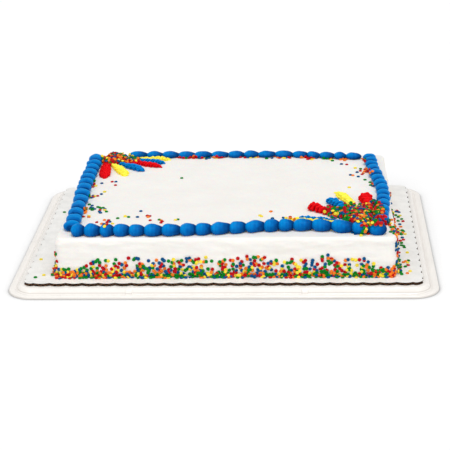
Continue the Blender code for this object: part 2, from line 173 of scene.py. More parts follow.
SECTION_MIDDLE = 0.38  # share of a stroke's height
SECTION_ENDS = (-37.8, 217.8)  # degrees round a stroke's section, which is open at its foot
ROOT_SIZE, ROOT_GROWS = 0.62, 0.4  # share of the full size at the root, and where along it is full
TIP_LEAST = 0.02  # the square of a tip's share of the full size
STROKE_EXTRA = 1.05  # the ruffles lose some of the width and height
# How far apart the ruffles lie, how deep they are, and how much they lag at the stroke's sides
Ruffle = namedtuple("Ruffle", "pitch depth slant")
FINE, COARSE = Ruffle(3.9, 0.34, 0.85), Ruffle(5.8, 0.42, 0.45)
FINE_UNTIL = 7.0  # strokes narrower than this are finely ruffled in either corner
ZIGZAG = 0.9
FLUTES = 7
FLUTE_DEPTH = 0.07

# Sprinkles: flat round sugar discs in five colours
DISC_RADIUS = 2.1
DISC_THICK = 1.5
DISC_SIDES = 10
DROP_FROM, BEYOND_CAKE, THROWN_FROM = 200, 400, 300  # where rays start: height, x, and distance
SITS = 0.38  # height of a disc's middle over what it lies on, as a share of its thickness
# A disc's rings: share of the radius, and height as a share of the thickness
DISC_RIM = ((0.78, -0.5), (1.0, -0.22), (1.0, 0.22), (0.78, 0.5))
COLOURS = {
    "red": (0.50, 0.003, 0.008),
    "orange": (0.84, 0.20, 0.018),
    "yellow": (0.90, 0.71, 0.055),
    "green": (0.001, 0.21, 0.016),
    "blue": (0.001, 0.080, 0.23),
}
ICINGS = {  # painted shade in the creases, the colour between, and painted light where it stands out, then the roughness
    "blue": ((0.0003, 0.040, 0.17), (0.0003, 0.115, 0.41), (0.0005, 0.265, 0.69), 0.36),
    "red": ((0.30, 0.001, 0.003), (0.64, 0.001, 0.005), (0.84, 0.006, 0.010), 0.36),
    "yellow": ((0.88, 0.52, 0.010), (0.97, 0.83, 0.045), (0.99, 0.90, 0.11), 0.42),
}
ICING_STOPS = (0.08, 0.42, 1.0)  # where each of the three colours lies on the painted light, from the painted shade of the creases outwards
MIXES = {  # share of each colour, in the order above
    "even": (0.20, 0.17, 0.13, 0.29, 0.21),
    "heaped": (0.29, 0.15, 0.12, 0.25, 0.19),
    "warm": (0.34, 0.32, 0.12, 0.14, 0.08),
    "cool": (0.08, 0.05, 0.17, 0.36, 0.34),
    "red": (0.8, 0.2, 0, 0, 0),
    "ember": (0.34, 0.62, 0.04, 0, 0),
    "spring": (0, 0.2, 0.4, 0.4, 0),
    "dusk": (0.34, 0.20, 0.10, 0.20, 0.16),
}

SPRINKLE_SEED, TURN_SEED = 11, 12  # for where they lie, and for how they are turned

# Light: a white room, and lamps with their energy, width, tilt from straight down, and turn
WORLD_STRENGTH = 0.45
LIGHTS = (
    ("front left soft light", 0.72, 35, 62, -34),
    ("front right soft light", 0.50, 45, 62, 42),
    ("overhead soft light", 1.58, 30, 11, 30),
)

# Camera: place and turn, from the fit of the board, tray and cake
CAMERA_PLACE = (105.585, -1792.709, 692.955)
CAMERA_PAN, CAMERA_TILT, CAMERA_ROLL = 3.5316, 69.4597, -1.5414
CAMERA_LENS, SENSOR = 119.14, 36

# Floor, and the soft shade on it where something stands close
FLOOR_REACH, FLOOR_LEVEL = 6.0, -0.0003  # metres
SHADE_REACH = 25
SHADE_RANGE = (0.72, 0.995)  # shares of open sky: darkest, and clear of shade
SHADE_MOST, SHADE_GREY = 0.9, (0.45, 0.45, 0.45)


# Mesh helpers

def rounded_rectangle(half, radius, corner_steps, cuts_x=(), cuts_y=()):
    """Points and outward normals round a rounded rectangle, with stations at the cuts on its sides."""
    points, normals = [], []
    sides = ((cuts_x, 0, 1), (cuts_y, 1, -1), (cuts_x, 0, -1), (cuts_y, 1, 1))
    for quarter, (cuts, axis, side) in enumerate(sides):
        start = quarter * math.pi / 2
        middle = start + math.pi / 4
        centre = (
            math.copysign(half[0] - radius, math.cos(middle)),
            math.copysign(half[1] - radius, math.sin(middle)),
        )
        for step in range(corner_steps + 1):
            angle = start + step / corner_steps * math.pi / 2
            normals.append((math.cos(angle), math.sin(angle)))
            points.append((centre[0] + radius * normals[-1][0], centre[1] + radius * normals[-1][1]))
        for cut in cuts if quarter in (2, 3) else reversed(cuts):
            points.append((cut, side * half[1]) if axis == 0 else (side * half[0], cut))
            normals.append((0, side) if axis == 0 else (side, 0))
    return np.array(points, float), np.array(normals, float)


def loft(rings):
    """Vertices and faces of a closed solid through rings of equally many points."""
    rings = np.asarray(rings, float)
    count, sides, _ = rings.shape
    index = np.arange(count * sides).reshape(count, sides)
    after = np.roll(index, -1, axis=1)
    quads = np.stack((index[:-1], after[:-1], after[1:], index[1:]), -1)
    faces = quads.reshape(-1, 4).tolist() + [index[0][::-1].tolist(), index[-1].tolist()]
    return rings.reshape(-1, 3), faces


def level_ring(spots, height):
    """Flat spots as a ring at one height."""
    return np.column_stack((spots, np.full(len(spots), height)))


def ring_across(middle, sideways, across, up):
    """A ring that stands on the cake, square to a piped line."""
    return np.column_stack((middle.x + sideways.x * across, middle.y + sideways.y * across, CAKE_TOP + up))


def joined(parts):
    """One mesh from several (vertices, faces)."""
    verts, faces, offset = [], [], 0
    for own_verts, own_faces in parts:
        verts.append(own_verts)
        faces += [[i + offset for i in face] for face in own_faces]
        offset += len(own_verts)
    return np.concatenate(verts), faces


def piece(name, shape, material, slot, *nodes, sharp=50, painted_lights=()):
    """A shown piece: it rides on the part and stands for the named solids.

    The painted light given for each vertex runs from 0, painted shade deep in a crease, to 1 where it stands
    out.
    """
    verts, faces = shape
    data = bpy.data.meshes.new(name)
    data.from_pydata((np.asarray(verts) * MM).tolist(), [], faces)
    # the painted light and shade, stored on each vertex for the icing's colour
    if len(painted_lights):
        data.attributes.new(PAINTED_LIGHT, "FLOAT", "POINT").data.foreach_set("value", painted_lights)
    mesh = bmesh.new()
    mesh.from_mesh(data)
    bmesh.ops.recalc_face_normals(mesh, faces=mesh.faces)
    mesh.to_mesh(data)
    mesh.free()
    data.shade_smooth()
    data.set_sharp_from_angle(angle=math.radians(sharp))
    data.materials.append(material)
    made = bpy.data.objects.new(name, data)
    bpy.context.scene.collection.objects.link(made)
    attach(made, "root")
    if nodes:
        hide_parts(*nodes)
    return made


def wobble(point, scale, seed=0.0):
    """Smooth noise of about -0.5 to 0.5, with features as large as the scale."""
    return noise.noise(Vector((point[0] / scale + seed, point[1] / scale, point[2] / scale)))


# Materials

def new_material(name, **values):
    """A material and its Principled shader, with plain values on the shader's own sockets."""
    made = bpy.data.materials.new(name)
    made.use_nodes = True
    shader = made.node_tree.nodes["Principled BSDF"]
    for socket, value in values.items():
        shader.inputs[socket.replace("_", " ")].default_value = value
    return made, made.node_tree, shader


def place_of(tree):
    """The texture place, in object coordinates."""
    return tree.nodes.new("ShaderNodeTexCoord").outputs["Object"]


def stretched(tree, stretch):
    """The texture place with each axis multiplied."""
    mapping = tree.nodes.new("ShaderNodeMapping")
    mapping.inputs["Scale"].default_value = stretch
    tree.links.new(place_of(tree), mapping.inputs["Vector"])
    return mapping.outputs["Vector"]


def noise_of(tree, feature, detail=3.0, place=None):
    """Noise whose features are about as large as given."""
    texture = tree.nodes.new("ShaderNodeTexNoise")
    texture.inputs["Scale"].default_value = 1 / (feature * MM)
    texture.inputs["Detail"].default_value = detail
    tree.links.new(place or place_of(tree), texture.inputs["Vector"])
    return texture.outputs["Fac"]


def ramp_of(tree, value, *stops, constant=False):
    """A colour ramp over a value: stops are (place, colour)."""
    ramp = tree.nodes.new("ShaderNodeValToRGB")
    if constant:
        ramp.color_ramp.interpolation = "CONSTANT"
    while len(ramp.color_ramp.elements) < len(stops):
        ramp.color_ramp.elements.new(0.5)
    for element, (place, colour) in zip(ramp.color_ramp.elements, stops):
        element.position = place
        element.color = (*colour, 1)
    tree.links.new(value, ramp.inputs["Fac"])
    return ramp.outputs["Color"]


def range_of(tree, value, low, high, to_low, to_high):
    """A value brought from one range to another."""
    mapped = tree.nodes.new("ShaderNodeMapRange")
    for socket, number in zip(("From Min", "From Max", "To Min", "To Max"), (low, high, to_low, to_high)):
        mapped.inputs[socket].default_value = number
    tree.links.new(value, mapped.inputs["Value"])
    return mapped.outputs["Result"]


def math_of(tree, operation, first, second):
    """A maths node: either input is a socket or a number."""
    made = tree.nodes.new("ShaderNodeMath")
    made.operation = operation
    for socket, value in zip(made.inputs, (first, second)):
        if isinstance(value, (int, float)):
            socket.default_value = value
        else:
            tree.links.new(value, socket)
    return made.outputs["Value"]


def blend_of(tree, share, first, colour):
    """A colour socket blended with a plain colour by a share."""
    mix = tree.nodes.new("ShaderNodeMixRGB")
    tree.links.new(share, mix.inputs["Fac"])
    tree.links.new(first, mix.inputs["Color1"])
    mix.inputs["Color2"].default_value = (*colour, 1)
    return mix.outputs["Color"]


def add_relief(tree, shader, *layers):
    """Bump layers on a shader: each is (height, depth in millimetres)."""
    normal = None
    for height, depth in layers:
        relief = tree.nodes.new("ShaderNodeBump")
        relief.inputs["Distance"].default_value = depth * MM
        tree.links.new(height, relief.inputs["Height"])
        if normal:
            tree.links.new(normal, relief.inputs["Normal"])
        normal = relief.outputs["Normal"]
    tree.links.new(normal, shader.inputs["Normal"])


def shade(colour, factor):
    """A colour made darker or lighter."""
    return tuple(channel * factor for channel in colour)


def white_icing():
    """Off-white buttercream with spatula streaks and fine pores."""
    made, tree, shader = new_material(
        "white buttercream", Specular_IOR_Level=0.3, Subsurface_Weight=0.1, Subsurface_Scale=0.003
    )
    cloud = noise_of(tree, 45, 4)
    tree.links.new(
        ramp_of(tree, cloud, (0.3, (0.838, 0.815, 0.775)), (0.7, (0.862, 0.842, 0.806))),
        shader.inputs["Base Color"],
    )
    tree.links.new(range_of(tree, noise_of(tree, 9), 0.3, 0.7, 0.48, 0.62), shader.inputs["Roughness"])
    streaks = noise_of(tree, 5, 3, stretched(tree, (0.12, 0.12, 1)))
    add_relief(tree, shader, (streaks, 0.35), (noise_of(tree, 14, 3), 0.5), (noise_of(tree, 0.9, 2), 0.05))
    return made


def coloured_icing(name):
    """Coloured buttercream: painted shade in its creases, painted light where it stands out, uneven and
    finely pored.
    """
    *shades, roughness = ICINGS[name]
    made, tree, shader = new_material(
        f"{name} buttercream", Specular_IOR_Level=0.03, Subsurface_Weight=0.03, Subsurface_Scale=0.001
    )
    # the colour follows each vertex's painted light and shade, with uneven patches of tone added
    painted_light = tree.nodes.new("ShaderNodeAttribute")
    painted_light.attribute_name = PAINTED_LIGHT
    patches = range_of(tree, noise_of(tree, 5, 4), 0.3, 0.7, -0.09, 0.09)
    depth = math_of(tree, "ADD", painted_light.outputs["Fac"], patches)
    tree.links.new(ramp_of(tree, depth, *zip(ICING_STOPS, shades)), shader.inputs["Base Color"])
    tree.links.new(
        range_of(tree, noise_of(tree, 4), 0.3, 0.7, roughness - 0.06, roughness + 0.08),
        shader.inputs["Roughness"],
    )
    add_relief(tree, shader, (noise_of(tree, 3.2, 3), 0.28), (noise_of(tree, 0.7, 2), 0.05))
    return made


def sugar(name, colour):
    """A coated sugar disc: near-even colour with a waxy shine."""
    made, tree, shader = new_material(f"{name} sugar", Specular_IOR_Level=0.08)
    each = noise_of(tree, 3.5, 1)
    tree.links.new(
        ramp_of(tree, each, (0.3, shade(colour, 0.8)), (0.7, shade(colour, 1.12))),
        shader.inputs["Base Color"],
    )
    tree.links.new(range_of(tree, noise_of(tree, 1.2), 0.3, 0.7, 0.34, 0.5), shader.inputs["Roughness"])
    add_relief(tree, shader, (noise_of(tree, 0.8, 2), 0.06))
    return made


def heap_core():
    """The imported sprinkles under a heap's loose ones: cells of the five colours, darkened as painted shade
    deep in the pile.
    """
    made, tree, shader = new_material("packed sprinkles", Roughness=0.45, Specular_IOR_Level=0.3)
    cells = tree.nodes.new("ShaderNodeTexVoronoi")
    cells.inputs["Scale"].default_value = 1 / (3.2 * MM)
    tree.links.new(place_of(tree), cells.inputs["Vector"])
    split = tree.nodes.new("ShaderNodeSeparateColor")
    tree.links.new(cells.outputs["Color"], split.inputs["Color"])
    # painted shade: each colour at 0.3 of its brightness, for the shade between and under the loose sprinkles
    stops = [(number / len(COLOURS), shade(colour, 0.3)) for number, colour in enumerate(COLOURS.values())]
    tree.links.new(ramp_of(tree, split.outputs["Red"], *stops, constant=True), shader.inputs["Base Color"])
    add_relief(tree, shader, (range_of(tree, cells.outputs["Distance"], 0, 0.6, 1, 0), 0.9))
    return made


def foil():
    """The board's silvery face: pale, slightly crinkled and embossed."""
    made, tree, shader = new_material("silver foil paper", Metallic=0.12, Specular_IOR_Level=0.4)
    patches = noise_of(tree, 16, 5)
    tree.links.new(
        ramp_of(tree, patches, (0.35, (0.83, 0.825, 0.80)), (0.65, (0.91, 0.90, 0.875))),
        shader.inputs["Base Color"],
    )
    tree.links.new(range_of(tree, noise_of(tree, 5), 0.3, 0.7, 0.3, 0.5), shader.inputs["Roughness"])
    add_relief(tree, shader, (noise_of(tree, 4, 4), 0.35), (noise_of(tree, 1.1, 2), 0.08))
    return made


def corrugated_edge():
    """The board's cut edge: brown card with a fluted layer between two liners, and painted shade in the
    hollows between the flutes.
    """
    made, tree, shader = new_material("brown corrugated card", Roughness=0.85, Specular_IOR_Level=0.15)
    split = tree.nodes.new("ShaderNodeSeparateXYZ")
    tree.links.new(place_of(tree), split.inputs["Vector"])
    along = math_of(tree, "ADD", split.outputs["X"], split.outputs["Y"])
    wave = math_of(tree, "SINE", math_of(tree, "MULTIPLY", along, 2 * math.pi / (FLUTE_PITCH * MM)), 0)
    swing = math_of(tree, "MULTIPLY", wave, FLUTE_SWING * MM)
    flute = math_of(tree, "ADD", swing, (BOARD_BOTTOM + BOARD_TOP) / 2 * MM)
    away = math_of(tree, "ABSOLUTE", math_of(tree, "SUBTRACT", split.outputs["Z"], flute), 0)
    lit = range_of(tree, away, FLUTE_EDGES[0] * MM, FLUTE_EDGES[1] * MM, 1, 0)
    # random stains, and painted shade near black in the hollows between the flutes
    stain_and_shade = math_of(tree, "MULTIPLY", lit, noise_of(tree, 12, 4))
    fluted = ramp_of(tree, stain_and_shade, (0.0, (0.016, 0.007, 0.003)), (0.6, (0.22, 0.11, 0.055)))
    lining = range_of(tree, split.outputs["Z"], LINER_TOP * MM, (LINER_TOP + 0.2) * MM, 1, 0)
    tree.links.new(blend_of(tree, lining, fluted, (0.96, 0.93, 0.88)), shader.inputs["Base Color"])
    add_relief(tree, shader, (lit, 0.4), (noise_of(tree, 1.5, 3), 0.15))
    return made


def clear_plastic():
    """Thin moulded plastic, pale over the pale floor: clearest face on, with painted shade in bands by height
    at its bends.
    """
    made, tree, shader = new_material("clear plastic", Specular_IOR_Level=0.5)
    facing = tree.nodes.new("ShaderNodeLayerWeight")
    facing.inputs["Blend"].default_value = 0.35
    cloud = noise_of(tree, 30, 2)
    pale = ramp_of(tree, cloud, (0.3, (0.95, 0.915, 0.87)), (0.7, (0.985, 0.95, 0.905)))
    split = tree.nodes.new("ShaderNodeSeparateXYZ")
    tree.links.new(place_of(tree), split.inputs["Vector"])
    # painted shade: darker bands by height at the rim's outer foot, the groove and the wall just above it
    height = range_of(tree, split.outputs["Z"], 0, TRAY_SHADES * MM, 0, 1)
    shaded = ramp_of(tree, height, *((place, (dark,) * 3) for place, dark in TRAY_FOLDS))
    tree.links.new(blend_of(tree, shaded, pale, (0.52, 0.47, 0.42)), shader.inputs["Base Color"])
    tree.links.new(range_of(tree, facing.outputs["Facing"], 0.25, 0.9, 0.84, 0.97), shader.inputs["Alpha"])
    tree.links.new(range_of(tree, noise_of(tree, 8), 0.3, 0.7, 0.08, 0.16), shader.inputs["Roughness"])
    add_relief(tree, shader, (noise_of(tree, 22, 2), 0.25))
    return made


# Board and tray

def make_tray():
    """The clear tray: a platform, a wall with tabs, a groove and a rim, with eased edges."""
    cuts = []
    for place in TAB_PLACES:
        half = TAB_WIDTH / 2
        cuts += [place - half - TAB_SIDE, place - half, place + half, place + half + TAB_SIDE]
    points, normals = rounded_rectangle(BOARD_HALF, BOARD_CORNER, CORNER_STEPS, cuts)
    reach = TAB_WIDTH / 2 + TAB_SIDE
    away = np.min([np.abs(points[:, 0] - place) for place in TAB_PLACES], axis=0)
    on_tab = np.clip((reach - away) / TAB_SIDE, 0, 1)
    rings = []
    for outward, height, tab_share in eased(TRAY_PROFILE) + eased(TRAY_UNDERSIDE):
        bulge = TAB_BULGE * tab_share * on_tab
        rings.append(level_ring(points + normals * (outward + bulge)[:, None], height))
    piece("clear_tray", loft(rings), clear_plastic(), "clear_plastic", "tray", sharp=35)


def eased(profile, times=2):
    """An open profile with its corners cut, ends kept."""
    for _ in range(times):
        cut = [profile[0]]
        for first, second in zip(profile, profile[1:]):
            cut.append(tuple(0.75 * a + 0.25 * b for a, b in zip(first, second)))
            cut.append(tuple(0.25 * a + 0.75 * b for a, b in zip(first, second)))
        cut.append(profile[-1])
        profile = cut
    return list(profile)


def scalloped_outline():
    """The board's scalloped edge, and its normals."""
    cuts = []
    for half, count in zip(BOARD_HALF, SCALLOPS):
        total = count * SCALLOP_STEPS
        cuts.append([(half - BOARD_CORNER) * (2 * k / total - 1) for k in range(1, total)])
    points, normals = rounded_rectangle(BOARD_HALF, BOARD_CORNER, CORNER_STEPS, *cuts)
    dips = []
    for straight in (*cuts, *cuts):
        dips += [abs(2 * step / CORNER_STEPS - 1) ** 4 for step in range(CORNER_STEPS + 1)]
        steps = [step % SCALLOP_STEPS for step in range(1, len(straight) + 1)]
        dips += [(2 * step / SCALLOP_STEPS - 1) ** 2 for step in steps]
    return points - normals * (SCALLOP_DEPTH * np.array(dips))[:, None], normals


def make_board():
    """Corrugated card: two liners, a set-back fluted layer and a foil face."""
    points, normals = scalloped_outline()
    levels = (
        (BOARD_BOTTOM, 0), (BOARD_BOTTOM + LINER, 0), (BOARD_BOTTOM + LINER, FLUTE_INSET),
        (BOARD_TOP - LINER, FLUTE_INSET), (BOARD_TOP - LINER, 0), (BOARD_TOP, 0),
    )
    shape = loft([level_ring(points - normals * inset, height) for height, inset in levels])
    made = piece("cake_board", shape, corrugated_edge(), "silver_board", "board", sharp=30)
    made.data.materials.append(foil())
    for face in made.data.polygons:
        if face.normal.z > 0.9 and face.center.z > (BOARD_TOP - 0.1) * MM:
            face.material_index = 1
    return shape


# Cake

def icing_wave(x, y):
    """How far the icing's long waves stand out at a place on the side."""
    along = math.sin(x / 33 + 1.1) + 0.6 * math.sin(x / 14)
    across = math.sin(y / 27 + 0.4) + 0.6 * math.sin(y / 12 + 2)
    return ICING_WAVE * 0.5 * (along + across)


def cake_levels():
    """(height, inset) up the cake's side and round its top edge."""
    lean = (0, 0.3, EDGE_STARTS), (0, 0.5, EDGE_INSET)
    side = [(share, np.interp(share, *lean)) for share in np.linspace(0, 0.86, 26)]
    edge = [
        (EDGE_STARTS + (1 - EDGE_STARTS) * math.sin(turn), EDGE_INSET + EDGE_DEPTH * (1 - math.cos(turn)))
        for turn in np.linspace(0, math.pi / 2, 9)
    ]
    return [(CAKE_BASE + share * (CAKE_TOP - CAKE_BASE), inset) for share, inset in side + edge]


def cake_ring(points, normals, height, inset):
    """One ring of the cake's side, with its waves, lumps and ragged line."""
    ragged = bump_of(height, RAG_HEIGHT, RAG_BAND, RAG_DEPTH)
    ring = []
    for (x, y), (nx, ny) in zip(points, normals):
        lump = 0.9 * wobble((x, y, height * 3), 26) + 0.35 * wobble((x, y, height * 4), 9, 7)
        rag = ragged * max(0, wobble((x, y, height * 2), 13, 3))
        out = icing_wave(x, y) - inset + lump + rag
        ring.append((x + CAKE_CENTRE[0] + nx * out, y + CAKE_CENTRE[1] + ny * out, height))
    return ring


def make_cake():
    """The iced cake: waved sides with spatula marks, a ragged upper edge, and a nearly flat top."""
    cuts = [np.arange(-reach, reach + 0.1, CUT_PITCH).tolist() for reach in CAKE_CUTS]
    points, normals = rounded_rectangle(CAKE_HALF, CAKE_CORNER, 9, *cuts)
    rings = [cake_ring(points, normals, height, inset) for height, inset in cake_levels()]
    edge = np.array(rings[-1])
    centre = np.array((*CAKE_CENTRE, CAKE_TOP))
    for share in np.linspace(0.985, 0.02, 34):
        ring = centre + (edge - centre) * share
        ring[:, 2] += [0.5 * wobble(spot, 38, 2) + 0.15 * wobble(spot, 11, 5) for spot in ring]
        rings.append(ring)
    shape = loft(rings)
    piece("cake_icing", shape, white_icing(), "white_icing", "cake", sharp=60)
    return shape


# Border rows

def row_middle(row, share):
    """(point, sideways) on a row's middle line."""
    start, end = Vector(row.start), Vector(row.end)
    ahead = (end - start).normalized()
    sideways = Vector((-ahead.y, ahead.x))
    return start + (end - start) * share + sideways * row.swell(share), sideways


def bead_size(place, last, crease):
    """A bead's share of its full size: blunt at its head, drawn out to the crease at its tail."""
    if place < BEAD_PEAK:
        return max(0.0, 1 - ((BEAD_PEAK - place) / BEAD_HEAD) ** BLUNT) ** (1 / BLUNT)
    if last:
        return math.sqrt(max(0.0, 1 - ((place - BEAD_PEAK) / (1 - BEAD_PEAK)) ** 2))
    drawn = 1 - (1 - crease) * ((place - BEAD_PEAK) / (1 - BEAD_PEAK)) ** 2
    return drawn * math.sqrt(max(0.0, 1 - (place / BEAD_TAIL) ** 14))


def roughened(shape, amount, scale, seed):
    """A shape with its vertices pushed about by smooth noise."""
    verts, faces = shape
    moved = [
        (x + amount * wobble((x, y, z), scale, seed), y + amount * wobble((y, z, x), scale, seed + 9),
         z + amount * wobble((z, x, y), scale, seed + 5))
        for x, y, z in verts
    ]
    return np.array(moved), faces


def bead_ring(middle, sideways, row, wide, tall, angles):
    """One ring of a bead: an oval about a middle of constant height, flat where it meets the cake."""
    across = wide * row.width / 2 * np.cos(angles)
    reach = np.where(np.sin(angles) > 0, 1 - BEAD_MIDDLE, BELLY) * tall * row.height
    up = np.maximum(0, BEAD_MIDDLE * row.height + reach * np.sin(angles))
    return ring_across(middle, sideways, across, up)


def make_bead(row, place, length, total, fat, tall, last):
    """One bead's rings, and the painted light and shade at each of their vertices."""
    angles = np.linspace(0, 2 * math.pi, BEAD_SIDES, endpoint=False)
    rises = (1 + np.sin(angles)) / 2
    run = (Vector(row.end) - Vector(row.start)).length
    first, end = BEAD_PEAK - BEAD_HEAD, 1.0 if last else BEAD_TAIL
    rings, painted_lights = [], []
    for turn in np.linspace(0, math.pi, BEAD_RINGS):
        inner = first + (end - first) * (1 - math.cos(turn)) / 2
        wide = max(THINNEST, bead_size(inner, last, row.pinch))
        high = max(THINNEST, bead_size(inner, last, row.crease))
        drag = 1 + DRAG_DEPTH * math.cos(2 * math.pi * inner * length * run / total / DRAG_PITCH)
        middle, sideways = row_middle(row, (place + inner * length) / total)
        rings.append(bead_ring(middle, sideways, row, wide * fat * drag, high * tall * drag, angles))
        # painted light: shade painted towards the tail's crease, on the lower sides and in every second band,
        # light on the top and rims
        away = np.clip((inner - first) / FOLD_RUN, 0, 1)
        stripe = 1 if int(inner * STRIPES) % 2 else STRIPE_SHADE
        painted_lights.append((1 - away ** row.deepens) * (row.rim + (1 - row.rim) * rises) * stripe)
    return rings, painted_lights


def make_row(name, material):
    """A row of separate beads, each one's head over the tail before it."""
    row = ROWS[name]
    draw = random.Random(row.seed)
    shares = [(number + 0.5) / row.beads for number in range(row.beads)]
    lengths = [
        1 + row.growth * (share - 0.5) + draw.uniform(-LENGTH_VARIES, LENGTH_VARIES) for share in shares
    ]
    # the painted light and shade of each bead's vertices, gathered for the whole row
    place, parts, painted_lights = 0.0, [], []
    for share, length in zip(shares, lengths):
        fat, tall = 1 + draw.uniform(-WIDTH_VARIES, WIDTH_VARIES), 1 + draw.uniform(*HEIGHT_VARIES)
        tall *= 1 - bump_of(share, *row.slim)
        rings, own_painted_lights = make_bead(row, place, length, sum(lengths), fat, tall, share == shares[-1])
        parts.append(loft(rings))
        painted_lights += own_painted_lights
        place += length
    shape = roughened(joined(parts), 0.8, 9, row.seed % 17)
    piece(name.replace("border", "piped_border"), shape, material, "blue_icing", name, painted_lights=np.ravel(painted_lights))
    return shape


# Strokes

def stroke_root(heap, tip):
    """Where a stroke comes clear of its heap."""
    origin = Vector(heap.origin)
    ahead = (tip - origin).normalized()
    reach = 0.0
    while True:
        spot = origin + ahead * reach
        across = (spot.x - heap.centre[0]) / (heap.half[0] + ROOT_CLEARANCE)
        along = (spot.y - heap.centre[1]) / (heap.half[1] + ROOT_CLEARANCE)
        if across * across + along * along > 1 and reach > heap.half[1] / 2:
            return spot
        reach += 1


def tip_size(share, shape):
    """A stroke's swell towards its tip."""
    if shape == "blob":
        return (1 + bump_of(share, 0.80, 0.16, 0.34)) * math.sqrt(max(TIP_LEAST, 1 - share ** 14))
    if shape == "peak":
        return 1.1 - 0.85 * max(0, (share - 0.7) / 0.3) ** 1.2
    return math.sqrt(max(TIP_LEAST, 1 - max(0, (share - 0.72) / 0.28) ** 2))


def stroke_ring(middle, sideways, half, height, angles, radial):
    """One ring of a stroke: an oval that stands on the cake."""
    across = half * np.cos(angles) * radial
    up = SECTION_MIDDLE * height + (1 - SECTION_MIDDLE) * height * np.sin(angles) * radial
    return ring_across(middle, sideways, across, up)


def make_stroke(name, icings):
    """A ruffled stroke, squeezed from a star nozzle that was moved to and fro."""
    stroke = STROKES[name]
    tip = Vector(stroke.tip)
    root = stroke_root(HEAPS[stroke.heap], tip)
    ahead = (tip - root).normalized()
    sideways = Vector((-ahead.y, ahead.x))
    length = (tip - root).length
    draw = random.Random(name)
    phase = draw.random()
    ruffle = FINE if stroke.heap == "sprinkle_heap_back" or stroke.width < FINE_UNTIL else COARSE
    angles = np.linspace(*np.radians(SECTION_ENDS), STROKE_SIDES)
    across = np.cos(angles) * stroke.width / 2
    rings, painted_lights = [], []
    for along in np.arange(-ROOT_RUNS_IN, length + 0.01, STROKE_STEP):
        share = max(0.0, along / length)
        lobe = np.abs(np.sin(math.pi * ((along - ruffle.slant * across) / ruffle.pitch + phase)))
        radial = (1 - ruffle.depth * (1 - lobe ** 0.8)) * (1 + FLUTE_DEPTH * np.cos(FLUTES * angles))
        zigzag = ZIGZAG * math.sin(math.pi * (along / ruffle.pitch + phase))
        middle = root + ahead * along + sideways * (stroke.bend * share * share + zigzag)
        size = (ROOT_SIZE + (1 - ROOT_SIZE) * min(1, share / ROOT_GROWS)) * tip_size(share, stroke.shape)
        half, tall = size * stroke.width / 2 * STROKE_EXTRA, size * stroke.height * STROKE_EXTRA
        rings.append(stroke_ring(middle, sideways, half, tall, angles, radial))
        # painted light: shade painted in the ruffles' troughs and on the lower sides, light on the ruffles'
        # crests and the top
        painted_lights.append(lobe ** 0.7 * (0.7 + 0.3 * np.maximum(0, np.sin(angles))))
    made = roughened(loft(rings), 1.1, 5, draw.uniform(0, 40))
    piece(f"piped_{name}", made, icings[stroke.colour], f"{stroke.colour}_icing", name, painted_lights=np.ravel(painted_lights))
    return made


# Heaps and sprinkles

def make_heap(name, seed, material):
    """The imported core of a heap."""
    heap = HEAPS[name]
    draw = random.Random(seed)
    lumps = [draw.uniform(-0.06, 0) for _ in range(HEAP_LUMPS)]
    lumps.append(lumps[0])
    rings = []
    for share, height in HEAP_PROFILE:
        ring = []
        for step in range(HEAP_SIDES):
            angle = 2 * math.pi * step / HEAP_SIDES
            lump = np.interp(step / HEAP_SIDES * HEAP_LUMPS, range(HEAP_LUMPS + 1), lumps)
            reach = share * (1 + lump)
            ring.append((
                heap.centre[0] + heap.half[0] * reach * math.cos(angle),
                heap.centre[1] + heap.half[1] * reach * math.sin(angle),
                CAKE_TOP + height * (1 + 1.6 * lump) * heap.mound,
            ))
        rings.append(ring)
    shape = roughened(loft(rings), 1.6, 5, seed)
    piece(name.replace("sprinkle_heap", "heap_core"), shape, material, "mixed_sprinkles", name)
    return shape


def thrown(x, y):
    """Where a sprinkle thrown from the front starts, and its aim."""
    aim = (Vector((x, y, CAKE_TOP)) - Vector(CAMERA_PLACE)).normalized()
    return Vector((x, y, CAKE_TOP)) - aim * THROWN_FROM, aim


class Sprinkles:
    """All loose sprinkles: where each lies, by colour."""

    def __init__(self, shapes, seed):
        verts, faces = joined(shapes)
        self.tree = BVHTree.FromPolygons(verts.tolist(), faces)
        self.draw = random.Random(seed)
        self.laid = {colour: [] for colour in COLOURS}
        self.cells = {}

    def colour(self, mix):
        """A colour drawn from a mix."""
        return self.draw.choices(list(COLOURS), MIXES[mix])[0]

    def crowded(self, spot, least):
        """Whether a sprinkle already lies nearer than the least distance. If none does, the spot is taken."""
        cell = tuple(math.floor(value / DISC_RADIUS / 2) for value in spot)
        for near in itertools.product(*((step - 1, step, step + 1) for step in cell)):
            if any((spot - other).length < least for other in self.cells.get(near, ())):
                return True
        self.cells.setdefault(cell, []).append(spot)
        return False

    def lay(self, start, aim, mix, tilt=0.15, lift=0.0, least=3.0, highest=None):
        """One sprinkle where a ray meets the surface, unless it is crowded or too high there."""
        place, normal, _, _ = self.tree.ray_cast(Vector(start), Vector(aim))
        if place is None or (highest and place.z > highest):
            return
        if normal.dot(Vector(aim)) > 0:
            normal = -normal
        centre = place + normal * (DISC_THICK * SITS + lift)
        if self.crowded(centre, least):
            return
        lean = Vector([self.draw.gauss(0, tilt) for _ in range(3)])
        axis = (normal + lean).normalized()
        self.laid[self.colour(mix)].append((centre, axis))

    def lay_one(self, colour, start, aim):
        """One sprinkle of a given colour, flat where a ray meets the surface."""
        place, normal, _, _ = self.tree.ray_cast(start, aim)
        self.laid[colour].append((place + normal * DISC_THICK * SITS, normal))

    def drop(self, x, y, mix, **how):
        """One sprinkle that fell straight down."""
        self.lay((x, y, DROP_FROM), (0, 0, -1), mix, **how)

    def throw(self, x, y, mix, **how):
        """One sprinkle that came from the front, towards a place on the cake's top."""
        self.lay(*thrown(x, y), mix, **how)


